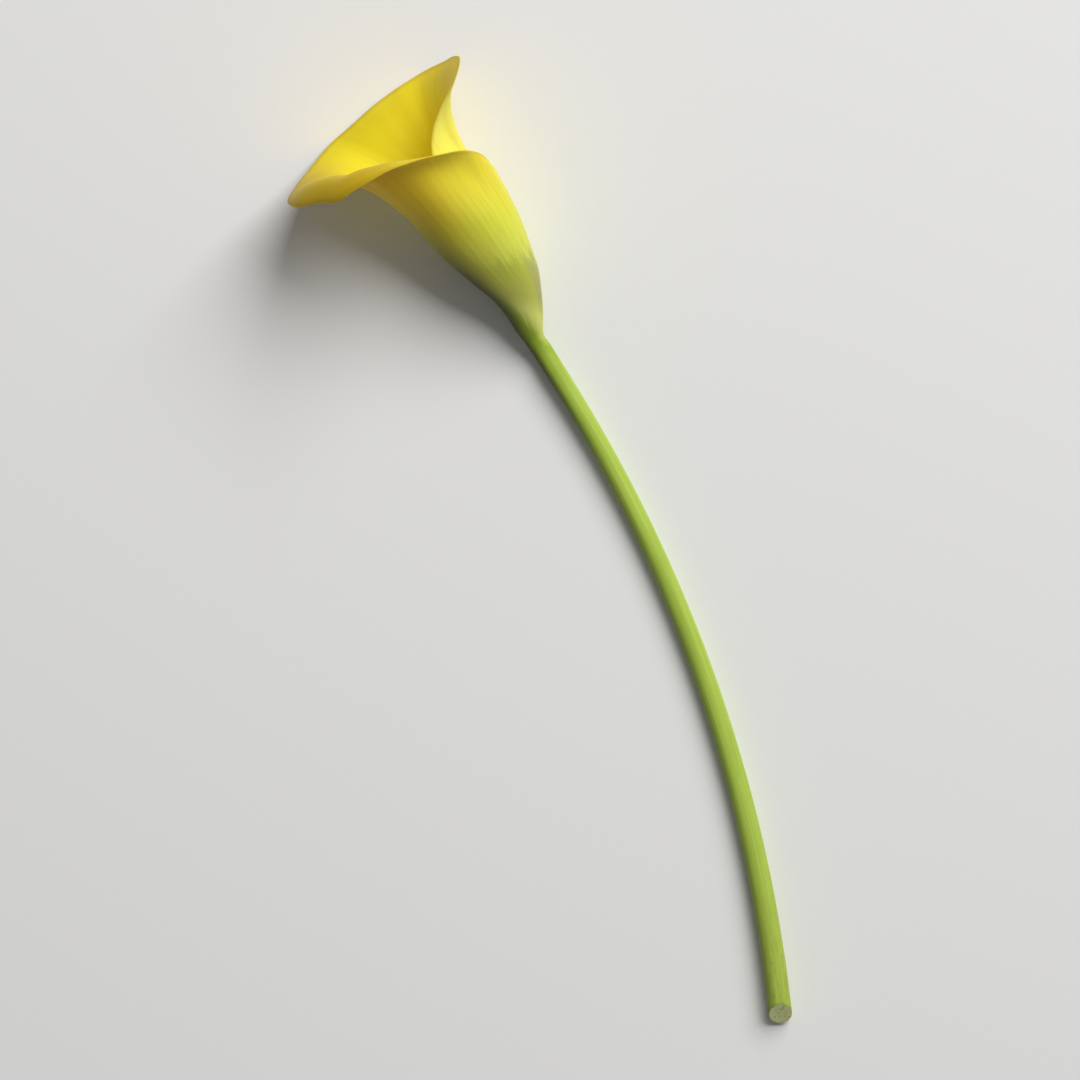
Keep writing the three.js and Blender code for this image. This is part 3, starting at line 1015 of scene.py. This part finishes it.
# %% Make the spadix
SPADIX_BASE = 3.3
SPADIX_TOP = 55
SPADIX_RADIUS = [(3.3, 1.5), (6.5, 2.2), (12, 2.6), (40, 2.5), (50, 2.0), (54.4, 0.8)]
OVARIES_UP_TO = 16
GOLDEN_ANGLE = math.pi * (3 - math.sqrt(5))
OVARY = 0.95  # mm, half its width
POLLEN = 0.62
SIZES = (0.92, 1.06)  # how much smaller or larger a floret can be
SQUATNESS = 0.7  # its height by its width
KNOB = 0.3  # size of an ovary's knob, and how far out it sits, both by the ovary's size
KNOB_LIFT = 0.75
OVARY_TONES = (0.0, 0.3)
POLLEN_TONES = (0.5, 1.0)
KNOB_TONE = 0.6
FLORETS_START = 0.9  # mm above the base
FLORETS_STOP = 0.4  # mm below the top
PACKING = 2.6  # share of the skin that each floret takes, in squares of its radius
PACKING_RADIUS = 0.6  # mm, the least that the packing reckons with
CORE_RINGS = 18
CORE_ENDS = (1.5, 2)  # mm above the base and below the top
CORE_SLICE = 2.2  # mm, half the height of one slice
CORE_TONE = 0.45
spadix_radius = through(SPADIX_RADIUS)


def floret_place(height, turn, size, lift=0.0):
    """A squat floret on the spike: size wide, less high, with its short way pointing out."""
    radius = spadix_radius(height)
    slope = spadix_radius(height + SLOPE_STEP) - spadix_radius(height - SLOPE_STEP)
    outward = Vector((math.cos(turn), -slope, math.sin(turn))).normalized()
    middle = Vector((tube_shift(height) + radius * math.cos(turn), height, radius * math.sin(turn)))
    turned = outward.to_track_quat("Z", "Y").to_matrix().to_4x4()
    shape = Matrix.Diagonal((size, size, SQUATNESS * size, 1))
    return bloom_frame @ Matrix.Translation(middle + outward * lift) @ turned @ shape


def add_core(bm, shape):
    """The spike under the florets: a row of round slices that overlap."""
    lowest, highest = SPADIX_BASE + CORE_ENDS[0], SPADIX_TOP - CORE_ENDS[1]
    for i in range(CORE_RINGS):
        height = blend(lowest, highest, i / (CORE_RINGS - 1))
        radius = spadix_radius(height)
        middle = Matrix.Translation((tube_shift(height), height, 0))
        stamp(bm, shape, bloom_frame @ middle @ Matrix.Diagonal((radius, CORE_SLICE, radius, 1)), CORE_TONE)


def make_spadix():
    draw = random.Random(7)
    bm = bmesh.new()
    add_core(bm, round_shape(*CORE_SHAPE))
    pillow, knob = round_shape(*PILLOW_SHAPE), round_shape(*KNOB_SHAPE)
    height, turn, count = SPADIX_BASE + FLORETS_START, 0.0, 0
    while height < SPADIX_TOP - FLORETS_STOP:
        is_ovary = height < OVARIES_UP_TO
        size = OVARY if is_ovary else POLLEN
        tone = draw.uniform(*(OVARY_TONES if is_ovary else POLLEN_TONES))
        stamp(bm, pillow, floret_place(height, turn, size * draw.uniform(*SIZES)), tone)
        if is_ovary:
            stamp(bm, knob, floret_place(height, turn, KNOB * size, lift=KNOB_LIFT * size), KNOB_TONE)
        height += PACKING * size * size / (2 * math.pi * max(spadix_radius(height), PACKING_RADIUS))
        turn += GOLDEN_ANGLE
        count += 1
    print("florets", count)
    piece = finish_piece(bm, "spadix_florets", [floret_skin()])
    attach(piece, "root")
    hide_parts("spadix")
    return piece


spadix = make_spadix()
print("spadix faces", len(spadix.data.polygons))

# %% [markdown]
# ## Studio
# A plain pale floor, one large soft key light from the right and an even, dim sky. The low sky keeps the
# shaded side of the tube deep, as a strong side light does, together with the painted shade on that side. The
# camera looks straight down through a long lens, so the flower keeps its true proportions.

# %% Floor and light
FLOOR_SIZE = 3  # m, half its side
PAPER = "#f8f7f5"
PAPER_FIBRES = 900.0  # to the metre
PAPER_RELIEF = (0.1, 0.2)  # strength, and depth in mm
KEY_AIM = Vector((-0.02, 0.06, 0.02))
KEY_AZIMUTH = math.radians(58)  # from +X towards +Y
KEY_ELEVATION = math.radians(44)
KEY_DISTANCE = 3
KEY_SIZE = 2.1
KEY_POWER = 89
SKY = "#f7f8fa"
SKY_STRENGTH = 0.17


def make_floor():
    bm = bmesh.new()
    bmesh.ops.create_grid(bm, x_segments=1, y_segments=1, size=FLOOR_SIZE)
    material, tree, shader = new_material("matt paper", Base_Color=linear(PAPER), Roughness=0.9)
    tree.links.new(bumped(tree, grain(tree, PAPER_FIBRES), *PAPER_RELIEF), shader.inputs["Normal"])
    floor = finish_piece(bm, "floor", [material])


def make_key():
    lamp = bpy.data.lights.new("key", "AREA")
    lamp.size = KEY_SIZE
    lamp.energy = KEY_POWER
    light = bpy.data.objects.new("key", lamp)
    level = math.cos(KEY_ELEVATION)
    towards = (level * math.cos(KEY_AZIMUTH), level * math.sin(KEY_AZIMUTH), math.sin(KEY_ELEVATION))
    light.location = KEY_AIM + KEY_DISTANCE * Vector(towards)
    light.rotation_euler = Vector(towards).to_track_quat("Z", "Y").to_euler()
    bpy.context.scene.collection.objects.link(light)


make_floor()
make_key()
world = bpy.data.worlds.new("sky")
world.use_nodes = True
sky = world.node_tree.nodes["Background"]
sky.inputs["Color"].default_value = linear(SKY)
sky.inputs["Strength"].default_value = SKY_STRENGTH
bpy.context.scene.world = world
bpy.context.scene.view_settings.view_transform = "Standard"
print("key light, W", KEY_POWER)

# %% Camera
SENSOR = 36  # mm
CAMERA_HEIGHT = 5  # m
FRAME_SHARE = 0.9  # of the picture's height that the flower fills

low, high = cad_box
middle = [(a + b) / 2 for a, b in zip(low, high)]
lens = bpy.data.cameras.new("camera")
lens.sensor_width = SENSOR
lens.lens = SENSOR * (CAMERA_HEIGHT - middle[2]) * FRAME_SHARE / (high[1] - low[1])
camera = bpy.data.objects.new("camera", lens)
camera.location = (middle[0], middle[1], CAMERA_HEIGHT)
bpy.context.scene.collection.objects.link(camera)
bpy.context.scene.camera = camera
print("lens, mm", round(lens.lens, 1))
